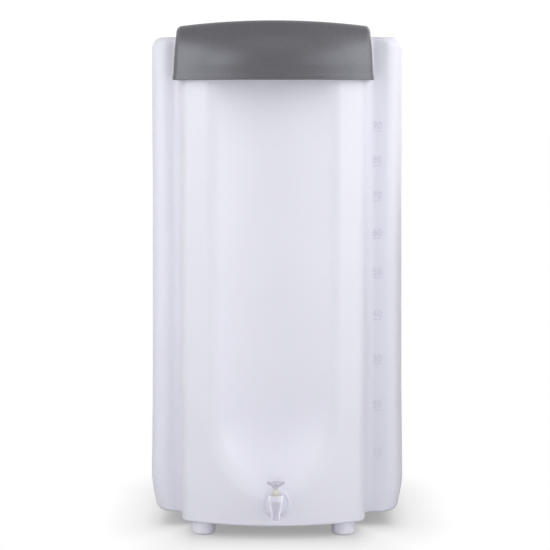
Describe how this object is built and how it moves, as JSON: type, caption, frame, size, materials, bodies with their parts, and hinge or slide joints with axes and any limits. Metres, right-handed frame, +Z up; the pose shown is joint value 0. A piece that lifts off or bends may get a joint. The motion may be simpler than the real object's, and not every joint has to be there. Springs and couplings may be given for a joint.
{
  "type": "water storage tank",
  "caption": "Slim free-standing moulded water tank with a bowed, scooped front, two rear side lobes, a hinged domed lid over its mouth, a level scale and a small quarter-turn outlet tap.",
  "frame": {"origin": "on the floor, under the middle of the whole object's bounding box: midway between the tank's sides and midway between the front of the tap barrel and the tank's rear face", "axes": "+Z up, +X to the right of somebody facing the tap, -Y out of the front (the tap side), +Y towards the rear face"},
  "size_m": [0.426, 0.4545, 0.851],
  "materials": {
    "milky_plastic": "translucent natural moulded plastic, faintly lavender",
    "lid_plastic": "satin mid-grey",
    "bracket_plastic": "satin mid-grey",
    "seal_rubber": "soft dark grey",
    "steel": "bright drawn stainless",
    "tap_plastic": "white with a lilac tint, gloss",
    "washer_plastic": "white, soft",
    "collar_plastic": "cream",
    "handle_plastic": "lilac white"
  },
  "bodies": {
    "tank": {"tank_shell": "milky_plastic", "mouth_seal": "seal_rubber", "hinge_bracket": "bracket_plastic", "hinge_rod": "steel", "rod_clips": "steel", "bracket_bolts": "steel", "bracket_washers": "seal_rubber", "bracket_nuts": "steel", "tap_body": "tap_plastic", "tap_outer_washer": "washer_plastic", "tap_inner_washer": "seal_rubber", "tap_backnut": "tap_plastic", "tap_collar": "collar_plastic"},
    "lid": {"lid_shell": "lid_plastic"},
    "tap_core": {"tap_plug": "tap_plastic", "plug_o_rings": "seal_rubber", "tap_handle": "handle_plastic", "handle_screw": "steel"}
  },
  "joints": [
    {"name": "lid_hinge", "type": "hinge", "parent": "tank", "child": "lid", "pos_m": [-0.005, 0.14525, 0.838], "axis": [-1, 0, 0], "range_deg": [0, 105]},
    {"name": "tap_turn", "type": "hinge", "parent": "tank", "child": "tap_core", "pos_m": [0, -0.21475, 0.0635], "axis": [0, 0, 1], "range_deg": [0, 90]}
  ]
}
